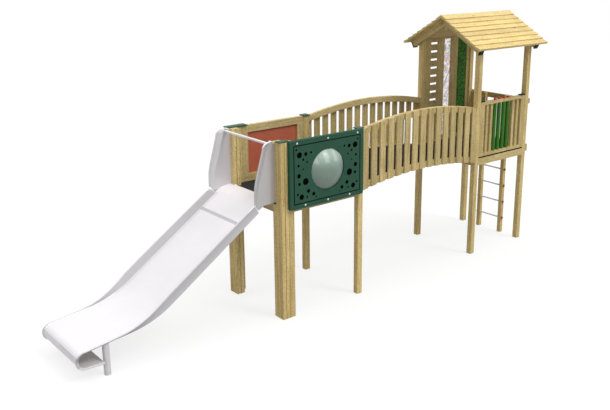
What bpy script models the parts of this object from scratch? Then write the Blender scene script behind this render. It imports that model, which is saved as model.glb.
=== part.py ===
# A timber play tower: a slide tower and a roofed tower joined by an arched bridge.
# Metres, +Z up. +X runs from the slide's foot to the roofed tower, -Y is the bubble panel's side.
# The origin lies on the ground, in the middle of the tower's length and width.

import math

import bmesh
import bpy
import numpy as np
from mathutils import Matrix, Vector

# Driving dimensions

fit = 0.0003                       # gap left between pieces that touch

post_side = 0.080
tower_size = 1.195                 # outside of post to outside of post, both ways
bridge_span = 2.210                # clear distance between the two towers
deck_top = 1.500
deck_board = 0.020
deck_beam_depth = 0.104
deck_beam_width = 0.045
joist_width = 0.045
stringer_gap = 0.0275              # between a stringer and the line of the cheeks' inner faces

low_post_height = 2.250
plank_thickness = 0.055            # two of these stand in front of each slide-side post
cheek_width = 0.175
plank_seam = 0.004                 # depth and half width of the groove between the two planks
cap_thickness = 0.014
cap_overhang = 0.015

slide_reach = 2.600                # cheek face to the tip of the slide's nose
slide_bed_half = 0.455
slide_sheet = 0.004
slide_entry_top = 1.520
slide_entry_run = 0.165            # cheek face to where the flat entry and the slope would meet
slide_lip_behind = 0.020           # how far the entry reaches over the deck
slide_slope = math.radians(34.2)
slide_runout_slope = math.radians(7.2)
slide_entry_radius = 0.300
slide_runout_radius = 1.200
slide_nose_radius = 0.092
slide_nose_top = 0.346             # height of the bed where the nose begins
rail_height = 0.098
rail_lean = 0.035
rail_rim = 0.014
rail_skirt = 0.113
rail_start = 0.262                 # cheek face to where the rails begin, below the wings
nose_skirt = 0.030                 # depth of the rolled edge round the nose
edge_lip = 0.012                   # what is left of the rail along the run-out
wing_rise = 0.742                  # wing top above the slide's entry
wing_depth = 0.315
wing_sheet = 0.005
wing_flare = 0.030
wing_rim_radius = 0.013
grab_bar_radius = 0.016
slide_leg_radius = 0.038
slide_leg_out = 2.244              # cheek face to the middle of a leg
slide_leg_side = 0.426             # middle of the slide to the middle of a leg

panel_overlap = 0.0145             # how far the panel reaches past the post over the cheek
panel_end_gap = 0.0435             # from the panel's other edge to the back post's outer face
panel_bottom = 1.414
panel_above_post = 0.014
panel_sheet = 0.015
panel_back = 0.034
panel_corner = 0.020
groove_side_margin = 0.054
groove_end_margin = 0.060          # at the panel's top and bottom
groove_width = 0.010
groove_depth = 0.004
dome_radius = 0.260
dome_rise = 0.115
dome_wall = 0.004
dome_flange = 0.024
dome_sides = 48

red_panel_thickness = 0.012
red_frame_rail = 0.096
red_frame_stile = 0.112
red_frame_width = 0.060

bridge_rise = 0.120                # handrail, middle above ends
deck_rise = 0.105                  # deck and lower beam, middle above ends
handrail_depth = 0.090
handrail_below_post = 0.007
bridge_timber = 0.045
lower_beam_depth = 0.076
lower_beam_drop = 0.070            # beam's lower edge below the deck's surface
slat_count = 15
slat_width = 0.096
slat_thickness = 0.020
slat_cut_back = 0.008              # slat ends stop short of the handrail's top
sink = 0.001                       # depth to which slats are let into the beam that carries them
bearer_depth = 0.034
bearer_count = 5

high_post_height = 3.140
ridge_height = 3.535
eave_half = 0.747
eave_height = 3.106
roof_overhang = 0.110
course_count = 8
course_step = 0.014
roof_thickness = 0.034
rafter_width = 0.078
rafter_depth = 0.100
rafter_half = 0.695
gusset_height = 3.320
gusset_thickness = 0.060

wall_setback = 0.022
wall_thickness = 0.036
wall_top = 3.130
swirl_left = 0.436                 # from the wall's left edge
swirl_width = 0.168
green_width = 0.220
green_right = 0.0664               # from the wall's right edge
window_top_margin = 0.020
wall_bottom_rail = 0.070
slot_count = 8
slot_length = 0.172
slot_height = 0.036
slot_pitch = 0.125
slot_top = 3.052
slot_left = 0.132
swirl_thickness = 0.008
green_thickness = 0.020

barrier_height = 0.810             # above the deck, roofed tower's near side
barrier_rail = 0.045
barrier_depth = 0.070
barrier_stile = 0.095
barrier_slat = 0.050
barrier_gap = 0.046
barrier_slat_thickness = 0.045

roller_count = 4
roller_radius = 0.030
roller_gap_front = 0.03875         # between the slats and the row of rollers, on the bridge's side
roller_gap_back = 0.05775          # the same on the ladder's side
roller_edge = 0.004
spindle_radius = 0.008
bore_clearance = 0.001
collar_radius = 0.017
collar_height = 0.005
spindle_depth = 0.030
knob_radius = 0.024
knob_height = 0.030

end_rail_width = 0.040
end_rail_depth = 0.078
end_rail_top = 2.245
end_sill_top = 1.530
end_sill_depth = 0.110
end_slat_gap = 0.010
stile_side = 0.060
ladder_inside = 0.375              # between the ladder's stiles
rung_radius = 0.0125
rung_cap_radius = 0.022
rung_cap_length = 0.016
rung_count = 5
rung_pitch = 0.270
first_rung = 0.242

# Stations worked out from them

half = tower_size / 2
inner = half - post_side
cheek_depth = 2 * plank_thickness
roof_end = rafter_width + roof_overhang
overall_length = slide_reach + cheek_depth + 2 * tower_size + bridge_span + roof_end
face_x = -overall_length / 2 + slide_reach
a_x0 = face_x + cheek_depth
a_x1 = a_x0 + tower_size
b_x0 = a_x1 + bridge_span
b_x1 = b_x0 + tower_size
bridge_mid = (a_x1 + b_x0) / 2
cheek_inner = half - cheek_width
panel_left = a_x0 - panel_overlap
panel_right = a_x1 - panel_end_gap
panel_top = low_post_height + panel_above_post
roof_tan = (ridge_height - eave_height) / eave_half
roof_angle = math.atan(roof_tan)

# Materials


def make_material(name, rgb, roughness, metallic=0.0, alpha=1.0):
    material = bpy.data.materials.new(name)
    material.use_nodes = True
    shader = material.node_tree.nodes["Principled BSDF"]
    shader.inputs["Base Color"].default_value = (*rgb, 1.0)
    shader.inputs["Roughness"].default_value = roughness
    shader.inputs["Metallic"].default_value = metallic
    shader.inputs["Alpha"].default_value = alpha
    return material


def make_materials():
    return {
        "timber": make_material("timber", (0.47, 0.35, 0.15), 0.75),
        "roof_timber": make_material("roof_timber", (0.80, 0.60, 0.25), 0.75),
        "steel": make_material("steel", (0.75, 0.74, 0.75), 0.35, 0.8),
        "green_sheet": make_material("green_sheet", (0.03, 0.10, 0.065), 0.45),
        "cap_green": make_material("cap_green", (0.01, 0.06, 0.035), 0.5),
        "clear": make_material("clear", (0.55, 0.65, 0.58), 0.08, 0.0, 0.45),
        "red_sheet": make_material("red_sheet", (0.43, 0.09, 0.05), 0.5),
        "deck": make_material("deck", (0.03, 0.03, 0.035), 0.7),
        "roller_green": make_material("roller_green", (0.02, 0.16, 0.03), 0.25),
        "knob_red": make_material("knob_red", (0.60, 0.03, 0.01), 0.35),
        "swirl": make_material("swirl", (0.75, 0.60, 0.72), 0.15),
        "turf_green": make_material("turf_green", (0.01, 0.09, 0.02), 0.9),
    }


# Building blocks


def remove_everything():
    for old in list(bpy.data.objects):
        bpy.data.objects.remove(old, do_unlink=True)


def mesh_from(name, bm, smooth_angle=None):
    bmesh.ops.recalc_face_normals(bm, faces=bm.faces[:])
    mesh = bpy.data.meshes.new(name)
    bm.to_mesh(mesh)
    bm.free()
    if smooth_angle is not None:
        mesh.shade_smooth()
        mesh.set_sharp_from_angle(angle=smooth_angle)
    return mesh


def place(name, mesh, material, location=(0.0, 0.0, 0.0)):
    obj = bpy.data.objects.new(name, mesh)
    bpy.context.scene.collection.objects.link(obj)
    obj.location = location
    if not mesh.materials:
        mesh.materials.append(material)
    return obj


def soften(obj, width=0.004, segments=2):
    bevel = obj.modifiers.new("soft edges", "BEVEL")
    bevel.width = width
    bevel.segments = segments
    bevel.limit_method = "ANGLE"
    bevel.angle_limit = math.radians(40)
    return obj


def combine(obj, name, bm, operation):
    """Add a Boolean with a hidden helper object made from bm."""
    helper = bpy.data.objects.new(name, mesh_from(name, bm))
    bpy.context.scene.collection.objects.link(helper)
    helper.hide_render = True
    helper.display_type = "WIRE"
    helper.location = obj.location
    boolean = obj.modifiers.new(name, "BOOLEAN")
    boolean.operation = operation
    boolean.solver = "EXACT"
    boolean.object = helper
    return obj


def add_box(bm, low, high):
    size = [b - a for a, b in zip(low, high)]
    middle = [(a + b) / 2 for a, b in zip(low, high)]
    matrix = Matrix.Translation(middle) @ Matrix.Diagonal((*size, 1.0))
    bmesh.ops.create_cube(bm, size=1.0, matrix=matrix)


def add_prism(bm, outline, axis, start, end):
    """Extrude a flat outline along axis; outline points are the two other coordinates in order."""
    def corner(point, depth):
        coords = list(point)
        coords.insert("xyz".index(axis), depth)
        return bm.verts.new(coords)

    face = bm.faces.new([corner(point, start) for point in outline])
    swept = bmesh.ops.extrude_face_region(bm, geom=[face])
    moved = [item for item in swept["geom"] if isinstance(item, bmesh.types.BMVert)]
    shift = [0.0, 0.0, 0.0]
    shift["xyz".index(axis)] = end - start
    bmesh.ops.translate(bm, verts=moved, vec=shift)


def add_cylinder(bm, centre, axis, radius, length, sides):
    turn = {"x": Matrix.Rotation(math.pi / 2, 4, "Y"), "y": Matrix.Rotation(math.pi / 2, 4, "X"),
            "z": Matrix.Identity(4)}[axis]
    bmesh.ops.create_cone(bm, cap_ends=True, segments=sides, radius1=radius, radius2=radius,
                          depth=length, matrix=Matrix.Translation(centre) @ turn)


def add_turned(bm, profile, sides):
    """Turn a profile of (radius, height) points about Z; a radius of zero closes the end."""
    rings = []
    for radius, height in profile:
        if radius == 0.0:
            rings.append([bm.verts.new((0.0, 0.0, height))])
            continue
        angles = [2 * math.pi * i / sides for i in range(sides)]
        rings.append([bm.verts.new((radius * math.cos(a), radius * math.sin(a), height)) for a in angles])
    if profile[0][0] > 0.0:
        rings.append(rings[0])
    for lower, upper in zip(rings, rings[1:]):
        for i in range(sides):
            quad = [lower[i % len(lower)], lower[(i + 1) % len(lower)],
                    upper[(i + 1) % len(upper)], upper[i % len(upper)]]
            bm.faces.new(list(dict.fromkeys(quad)))


def add_tube(bm, path, radius, sides):
    """Carry a circle along a flat path in the XZ plane and close both ends."""
    points = [Vector(point) for point in path]
    rings = []
    for i, point in enumerate(points):
        along = (points[min(i + 1, len(points) - 1)] - points[max(i - 1, 0)]).normalized()
        across = Vector((0.0, 1.0, 0.0))
        normal = along.cross(across).normalized()
        angles = [2 * math.pi * k / sides for k in range(sides)]
        rings.append([bm.verts.new(point + radius * (math.cos(a) * across + math.sin(a) * normal))
                      for a in angles])
    for ring, following in zip(rings, rings[1:]):
        for k in range(sides):
            bm.faces.new([ring[k], ring[(k + 1) % sides], following[(k + 1) % sides], following[k]])
    bm.faces.new(rings[0])
    bm.faces.new(rings[-1])


def add_cells(bm, first, second, solid, axis, start, end):
    """Build a plate from a grid of cells, leaving out the cells that are open."""
    order = {"x": (1, 2, 0), "y": (0, 2, 1), "z": (0, 1, 2)}[axis]
    made = {}

    def corner(i, j, depth):
        key = (i, j, depth)
        if key not in made:
            coords = [0.0, 0.0, 0.0]
            for position, value in zip(order, (first[i], second[j], depth)):
                coords[position] = value
            made[key] = bm.verts.new(coords)
        return made[key]

    def filled(i, j):
        return 0 <= i < len(first) - 1 and 0 <= j < len(second) - 1 and solid(i, j)

    for i in range(len(first) - 1):
        for j in range(len(second) - 1):
            if not filled(i, j):
                continue
            loop = [(i, j), (i + 1, j), (i + 1, j + 1), (i, j + 1)]
            for depth in (start, end):
                bm.faces.new([corner(a, b, depth) for a, b in loop])
            beyond = [(i, j - 1), (i + 1, j), (i, j + 1), (i - 1, j)]
            for side, neighbour in enumerate(beyond):
                if not filled(*neighbour):
                    p, q = loop[side], loop[(side + 1) % 4]
                    bm.faces.new([corner(*p, start), corner(*q, start), corner(*q, end), corner(*p, end)])


def rise_at(x, rise):
    """Height of an arch over the bridge at x, zero at both ends."""
    reach = bridge_span / 2
    radius = (reach ** 2 + rise ** 2) / (2 * rise)
    return math.sqrt(radius ** 2 - (x - bridge_mid) ** 2) - (radius - rise)


def arch_outline(low, high, rise, x0, x1, steps):
    """Outline in X and Z of a timber curved to the arch, from x0 to x1."""
    xs = [x0 + (x1 - x0) * i / steps for i in range(steps + 1)]
    lower = [(x, low + rise_at(x, rise)) for x in xs]
    upper = [(x, high + rise_at(x, rise)) for x in reversed(xs)]
    return lower + upper


# Slide tower


def make_posts(materials):
    for tower, x0, x1, height in (("slide", a_x0, a_x1, low_post_height),
                                  ("roof", b_x0, b_x1, high_post_height)):
        bm = bmesh.new()
        side = post_side / 2
        add_box(bm, (-side, -side, 0.0), (side, side, height))
        mesh = mesh_from(tower + "_post", bm)
        for y_name, y in (("near", -half + side), ("far", half - side)):
            for x_name, x in (("front", x0 + side), ("back", x1 - side)):
                post = place(f"{tower}_post_{y_name}_{x_name}", mesh, materials["timber"], (x, y, 0.0))
                soften(post)


def make_cheeks(materials):
    seam = cheek_depth / 2
    outline = [(0.0, 0.0), (seam - plank_seam, 0.0), (seam, plank_seam), (seam + plank_seam, 0.0),
               (cheek_depth - fit, 0.0), (cheek_depth - fit, cheek_width), (seam + plank_seam, cheek_width),
               (seam, cheek_width - plank_seam), (seam - plank_seam, cheek_width), (0.0, cheek_width)]
    bm = bmesh.new()
    add_prism(bm, outline, "z", 0.0, low_post_height)
    mesh = mesh_from("cheek", bm)
    place("cheek_near", mesh, materials["timber"], (face_x, -half, 0.0))
    place("cheek_far", mesh, materials["timber"], (face_x, cheek_inner, 0.0))


def make_caps(materials):
    """Thin caps; on the near side they stop at the posts' outer face, behind the panel."""
    z0 = low_post_height + fit
    shapes = {
        "cap_near_front": ((face_x - cap_overhang, -half), (a_x0 + cap_overhang, -inner + cap_overhang)),
        "cap_far_front": ((face_x - cap_overhang, inner - cap_overhang),
                          (a_x0 + post_side + red_frame_stile - cap_overhang, half + cap_overhang)),
        "cap_near_back": ((a_x1 - post_side - cap_overhang, -half),
                          (a_x1 + cap_overhang, -inner + cap_overhang)),
        "cap_far_back": ((a_x1 - post_side - cap_overhang, inner - cap_overhang),
                         (a_x1 + cap_overhang, half + cap_overhang)),
    }
    for name, ((x0, y0), (x1, y1)) in shapes.items():
        bm = bmesh.new()
        add_box(bm, (x0, y0, z0), (x1, y1, z0 + cap_thickness))
        soften(place(name, mesh_from(name, bm), materials["cap_green"]), 0.003)


def make_deck_frame(name, xs, solid, material):
    """Fascia beams between the posts, joined by stringers and cross joists, as one lattice."""
    ys = [cheek_inner - fit, inner - fit, half - deck_beam_width, half]
    stringer_out = cheek_inner - stringer_gap
    ys = [stringer_out - joist_width, stringer_out] + ys
    ys = [-y for y in reversed(ys)] + ys
    top = deck_top - deck_board - fit
    bm = bmesh.new()
    add_cells(bm, xs, ys, lambda i, j: solid(i, abs(j - 5)), "z", top - deck_beam_depth, top)
    return place(name, mesh_from(name, bm), material)


def make_slide_tower_deck(materials):
    xs = [face_x, face_x + deck_beam_width, a_x0 + post_side + fit, (a_x0 + a_x1 - joist_width) / 2,
          (a_x0 + a_x1 + joist_width) / 2, a_x1 - post_side - fit, a_x1 - deck_beam_width, a_x1]

    def timber(i, away):
        side_beam = away == 5 and 2 <= i <= 4
        front_beam = i == 0 and away <= 2
        rear_beam = i == 6 and away <= 3
        return side_beam or front_beam or rear_beam or i == 3 or away == 1

    make_deck_frame("slide_deck_frame", xs, timber, materials["timber"])
    xs = [face_x, a_x0, a_x0 + post_side + fit, a_x1 - post_side - fit, a_x1]
    ys = [-half, -inner + fit, -cheek_inner + fit, cheek_inner - fit, inner - fit, half]

    def solid(i, j):
        return {0: j == 2, 1: 1 <= j <= 3 and (i > 0), 2: True, 3: 1 <= j <= 3}[i]

    bm = bmesh.new()
    add_cells(bm, xs, ys, solid, "z", deck_top - deck_board, deck_top)
    place("slide_deck_board", mesh_from("slide_deck_board", bm), materials["deck"])


# Slide


def slide_path():
    """Points (x, z) of the bed from the deck to the end of the plate under the nose."""
    tilt = (slide_slope, slide_runout_slope)
    corner_a = Vector((face_x - slide_entry_run, slide_entry_top))
    tip = face_x - slide_reach + slide_sheet / 2 + edge_lip
    nose_x = tip + slide_nose_radius * (1 - math.sin(tilt[1]))
    down = Vector((-math.cos(tilt[0]), -math.sin(tilt[0])))
    out = Vector((-math.cos(tilt[1]), -math.sin(tilt[1])))
    nose_top = Vector((nose_x, slide_nose_top))
    reach = ((corner_a.x - nose_top.x) * out.y - (corner_a.y - nose_top.y) * out.x)
    corner_b = corner_a + down * (reach / (down.y * out.x - down.x * out.y))
    points = [Vector((face_x + slide_lip_behind, slide_entry_top - 0.015)),
              Vector((face_x + slide_lip_behind, slide_entry_top)),
              Vector((face_x - 0.003, slide_entry_top)), Vector((face_x - 0.010, slide_entry_top))]

    def bend(corner, before, after, radius, steps, turn):
        angle = after - before
        tangent = radius * math.tan(abs(angle) / 2)
        start = corner + Vector((math.cos(before), math.sin(before))) * tangent
        for i in range(steps + 1):
            a = before + angle * i / steps
            side = Vector((-math.sin(a), math.cos(a))) * turn
            origin = start - Vector((-math.sin(before), math.cos(before))) * turn * radius
            points.append(origin + side * radius)

    bend(corner_a, 0.0, tilt[0], slide_entry_radius, 6, 1)
    low_start = corner_b - down * slide_runout_radius * math.tan((tilt[0] - tilt[1]) / 2)
    high_end = points[-1]
    shares = [(high_end.x - face_x + rail_start + away) / (high_end.x - low_start.x)
              for away in (0.0, 0.007, 0.014)]
    shares += [shares[-1] + (1 - shares[-1]) * i / 6 for i in range(1, 6)]
    for share in shares:
        points.append(high_end.lerp(low_start, share))
    bend(corner_b, tilt[0], tilt[1], slide_runout_radius, 10, -1)
    runout_start = points[-1]
    for i in range(1, 4):
        points.append(runout_start.lerp(nose_top, i / 4))
    centre = nose_top - Vector((-math.sin(tilt[1]), math.cos(tilt[1]))) * slide_nose_radius
    for i in range(11):
        a = tilt[1] + (math.pi - tilt[1]) * i / 10
        points.append(centre + Vector((-math.sin(a), math.cos(a))) * slide_nose_radius)
    points.append(Vector((face_x - slide_leg_out - slide_leg_radius - fit, points[-1].y)))
    return points


def rail_share(x):
    """How much of the full rail stands at x: none beside the wings, none along the run-out."""
    starts = (face_x - rail_start - x) / 0.012
    fades = (x - (face_x - 2.15)) / 0.75
    ramp = max(0.0, min(1.0, starts)) * max(0.0, min(1.0, fades))
    return ramp * ramp * (3 - 2 * ramp)


def make_slide_bed(materials):
    path = slide_path()
    bm = bmesh.new()
    rows = []
    for i, point in enumerate(path):
        along = (path[min(i + 1, len(path) - 1)] - path[max(i - 1, 0)]).normalized()
        up = Vector((along.y, -along.x))
        past_nose = i - (len(path) - 12)
        share = rail_share(point.x) if past_nose < 0 else 0.0
        end_lip = edge_lip + (nose_skirt - edge_lip) * max(0.0, min(1.0, past_nose / 5))
        bed_half = slide_bed_half if point.x < face_x - 0.005 else cheek_inner - 0.006 - rail_rim
        height = edge_lip + (rail_height - edge_lip) * share
        lean = rail_lean * share
        skirt = end_lip + (rail_skirt - edge_lip) * share
        half_section = [(0.0, 0.0), (bed_half - 0.010, 0.0), (bed_half, 0.004),
                        (bed_half + lean, height - 0.004), (bed_half + lean + 0.004, height),
                        (bed_half + lean + rail_rim - 0.004, height),
                        (bed_half + lean + rail_rim, height - 0.004),
                        (bed_half + lean + rail_rim, height - skirt)]
        section = [(-y, n) for y, n in reversed(half_section[1:])] + half_section
        rows.append([bm.verts.new((point.x + up.x * n, y, point.y + up.y * n)) for y, n in section])
    for row, following in zip(rows, rows[1:]):
        for k in range(len(row) - 1):
            bm.faces.new([row[k], row[k + 1], following[k + 1], following[k]])
    bed = place("slide_bed", mesh_from("slide_bed", bm, math.radians(35)), materials["steel"])
    wall = bed.modifiers.new("sheet", "SOLIDIFY")
    wall.thickness = slide_sheet
    wall.offset = 0.0
    wall.use_even_offset = True
    return bed


def wing_front(z):
    """Distance of the wing's front edge from the cheek at height z above the entry."""
    past = z - 0.235
    return wing_depth - 0.300 * (past + math.sqrt(past ** 2 + 0.06 ** 2)) / 2


def make_wing(name, side, materials):
    """A sheet wing with a flared front strip and a rolled tube round its free edge."""
    inner_face = slide_bed_half + rail_rim + slide_sheet / 2 + fit
    y0 = side * (inner_face + wing_sheet / 2)
    round_start = wing_rise - 0.075
    start_reach = wing_front(round_start)
    middle = start_reach * 0.42
    rows = [(0.0, wing_front(z), z) for z in (0.10, 0.18, 0.235, 0.29, 0.38, 0.50, round_start)]
    for i in range(1, 7):
        a = math.pi / 2 * i / 6
        rows.append((middle * (1 - math.cos(a)), middle + (start_reach - middle) * math.cos(a) + 0.004,
                     round_start + (wing_rise - round_start) * math.sin(a)))
    grid = [[(0.0, -0.020, 0.0), (0.165, -0.023, 0.0), (0.244, -0.068, 0.0), (0.283, -0.030, 0.0),
             (wing_front(0.0), 0.020, wing_flare)]]
    for back, front, z in rows:
        fold = back + (front - back) * (0.90 - 0.35 * z / wing_rise)
        grid.append([(back + (fold - back) * part, z, 0.0) for part in (0.0, 0.58, 0.88, 1.0)]
                    + [(front, z, wing_flare)])
    bm = bmesh.new()
    grid = [[bm.verts.new((face_x - fit - away, y0 + side * out, slide_entry_top + z))
             for away, z, out in row] for row in grid]
    for row, following in zip(grid, grid[1:]):
        for k in range(4):
            bm.faces.new([row[k], row[k + 1], following[k + 1], following[k]])
    edge = [row[4].co.copy() for row in grid]
    edge += [row[0].co.copy() for row in reversed(grid[-4:])]
    wing = place(name, mesh_from(name, bm, math.radians(35)), materials["steel"])
    sheet = wing.modifiers.new("sheet", "SOLIDIFY")
    sheet.thickness = wing_sheet
    sheet.offset = 0.0
    rim = bmesh.new()
    add_tube(rim, edge, wing_rim_radius, 10)
    combine(wing, name + "_rim", rim, "UNION")
    wing.modifiers[-1].use_self = True


def make_slide(materials):
    make_slide_bed(materials)
    make_wing("slide_wing_near", -1, materials)
    make_wing("slide_wing_far", 1, materials)
    reach = slide_bed_half + rail_rim + slide_sheet / 2 + fit
    bm = bmesh.new()
    bar_z = slide_entry_top + wing_rise - wing_rim_radius - grab_bar_radius - 0.002
    add_cylinder(bm, (face_x - 0.072, 0.0, bar_z), "y", grab_bar_radius, 2 * (reach - fit), 16)
    place("slide_grab_bar", mesh_from("slide_grab_bar", bm, math.radians(40)), materials["steel"])
    path = slide_path()
    leg_x = face_x - slide_leg_out
    under = next(p.lerp(q, (leg_x - p.x) / (q.x - p.x))
                 for p, q in zip(path[2:], path[3:]) if q.x <= leg_x <= p.x)
    top = under.y - (slide_sheet / 2 + fit) / math.cos(slide_runout_slope)
    bm = bmesh.new()
    add_cylinder(bm, (0.0, 0.0, top / 2), "z", slide_leg_radius, top, 16)
    for vert in bm.verts:
        if vert.co.z > top / 2:
            vert.co.z += vert.co.x * math.tan(slide_runout_slope)
    mesh = mesh_from("slide_leg", bm, math.radians(40))
    for name, y in (("slide_leg_near", -slide_leg_side), ("slide_leg_far", slide_leg_side)):
        place(name, mesh, materials["steel"], (leg_x, y, 0.0))


# Bubble panel

# Round holes on the panel's left half, mirrored to its right: distance from the middle, height
# above the middle, radius.
panel_holes = (
    (0.486, 0.312, 0.013), (0.264, 0.252, 0.015), (0.441, 0.242, 0.038), (0.344, 0.242, 0.024),
    (0.384, 0.180, 0.016), (0.324, 0.142, 0.012), (0.455, 0.112, 0.017), (0.386, 0.062, 0.010),
    (0.450, -0.014, 0.028), (0.349, -0.098, 0.044), (0.444, -0.116, 0.020), (0.308, -0.223, 0.025),
    (0.471, -0.242, 0.015), (0.226, -0.273, 0.024), (0.412, -0.283, 0.034), (0.328, -0.294, 0.013),
    (0.192, -0.318, 0.010),
)


def make_bubble_panel(materials):
    left, right = panel_left, panel_right
    mid_x = (left + right) / 2
    mid_z = (panel_bottom + panel_top) / 2
    back_y = -half - fit
    seam_y = back_y - panel_back
    front_y = seam_y - fit - panel_sheet

    def rounded(x0, x1, z0, z1, radius, steps):
        outline = []
        for cx, cz, start in ((x1 - radius, z1 - radius, 0), (x0 + radius, z1 - radius, 1),
                              (x0 + radius, z0 + radius, 2), (x1 - radius, z0 + radius, 3)):
            for i in range(steps + 1):
                a = math.pi / 2 * (start + i / steps)
                outline.append((cx + radius * math.cos(a), cz + radius * math.sin(a)))
        return outline

    bm = bmesh.new()
    add_prism(bm, rounded(left, right, panel_bottom, panel_top, panel_corner, 4), "y", front_y, seam_y - fit)
    front = place("bubble_panel_front", mesh_from("bubble_panel_front", bm), materials["green_sheet"])
    holes = bmesh.new()
    length = 3 * panel_sheet
    for away, up, radius in panel_holes:
        sides = 16 if radius > 0.02 else 10
        for x in (mid_x - away, mid_x + away):
            add_cylinder(holes, (x, front_y + panel_sheet / 2, mid_z + up), "y", radius, length, sides)
    add_cylinder(holes, (mid_x, front_y + panel_sheet / 2, mid_z), "y", dome_radius + fit, length, dome_sides)
    combine(front, "panel_holes", holes, "DIFFERENCE")
    groove = bmesh.new()
    x_out = (right - left) / 2 - groove_side_margin
    z_out = (panel_top - panel_bottom) / 2 - groove_end_margin
    x_in, z_in = x_out - groove_width, z_out - groove_width
    xs = [mid_x - x_out, mid_x - x_in, mid_x + x_in, mid_x + x_out]
    zs = [mid_z - z_out, mid_z - z_in, mid_z + z_in, mid_z + z_out]
    add_cells(groove, xs, zs, lambda i, j: (i, j) != (1, 1), "y",
              front_y - groove_depth, front_y + groove_depth)
    combine(front, "panel_groove", groove, "DIFFERENCE")

    bm = bmesh.new()
    add_prism(bm, rounded(left, right, panel_bottom, panel_top, panel_corner, 4), "y", seam_y, back_y)
    back = place("bubble_panel_back", mesh_from("bubble_panel_back", bm), materials["green_sheet"])
    opening = bmesh.new()
    add_cylinder(opening, (mid_x, (seam_y + back_y) / 2, mid_z), "y", dome_radius - dome_wall, 3 * panel_back,
                 dome_sides)
    combine(back, "head_opening", opening, "DIFFERENCE")
    rebate = bmesh.new()
    pocket = dome_wall + 2 * fit
    add_cylinder(rebate, (mid_x, seam_y, mid_z), "y", dome_radius + dome_flange + fit, 2 * pocket, dome_sides)
    combine(back, "flange_rebate", rebate, "DIFFERENCE")

    outer = (dome_radius - fit, dome_rise)
    profile = [(0.0, dome_wall + outer[1])]
    steps = 7
    sphere = (outer[0] ** 2 + outer[1] ** 2) / (2 * outer[1])
    spread = math.asin(outer[0] / sphere)
    for i in range(1, steps + 1):
        a = spread * i / steps
        profile.append((sphere * math.sin(a), dome_wall + outer[1] - sphere * (1 - math.cos(a))))
    profile += [(dome_radius + dome_flange, dome_wall), (dome_radius + dome_flange, 0.0)]
    shell = sphere - dome_wall
    rim_angle = math.acos((sphere - outer[1] - dome_wall) / shell)
    for i in range(steps, 0, -1):
        a = rim_angle * i / steps
        profile.append((shell * math.sin(a), outer[1] - shell * (1 - math.cos(a))))
    profile.append((0.0, outer[1]))
    bm = bmesh.new()
    add_turned(bm, profile, dome_sides)
    bmesh.ops.rotate(bm, verts=bm.verts[:], cent=(0, 0, 0), matrix=Matrix.Rotation(math.pi / 2, 3, "X"))
    place("bubble_dome", mesh_from("bubble_dome", bm, math.radians(30)), materials["clear"],
          (mid_x, seam_y + dome_wall + fit, mid_z))


def make_red_side(materials):
    x0, x1 = a_x0 + post_side + fit, a_x1 - post_side - fit
    y_mid = half - post_side / 2
    z0, z1 = deck_top + fit, low_post_height
    xs = [x0, x0 + red_frame_stile, x1 - red_frame_stile, x1]
    zs = [z0, z0 + red_frame_rail, z1 - red_frame_rail, z1]
    bm = bmesh.new()
    add_cells(bm, xs, zs, lambda i, j: (i, j) != (1, 1), "y",
              y_mid - red_frame_width / 2, y_mid + red_frame_width / 2)
    place("red_side_frame", mesh_from("red_side_frame", bm), materials["timber"])
    bm = bmesh.new()
    add_box(bm, (xs[1] + fit, y_mid - red_panel_thickness / 2, zs[1] + fit),
            (xs[2] - fit, y_mid + red_panel_thickness / 2, zs[2] - fit))
    place("red_panel", mesh_from("red_panel", bm), materials["red_sheet"])


# Bridge


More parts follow.
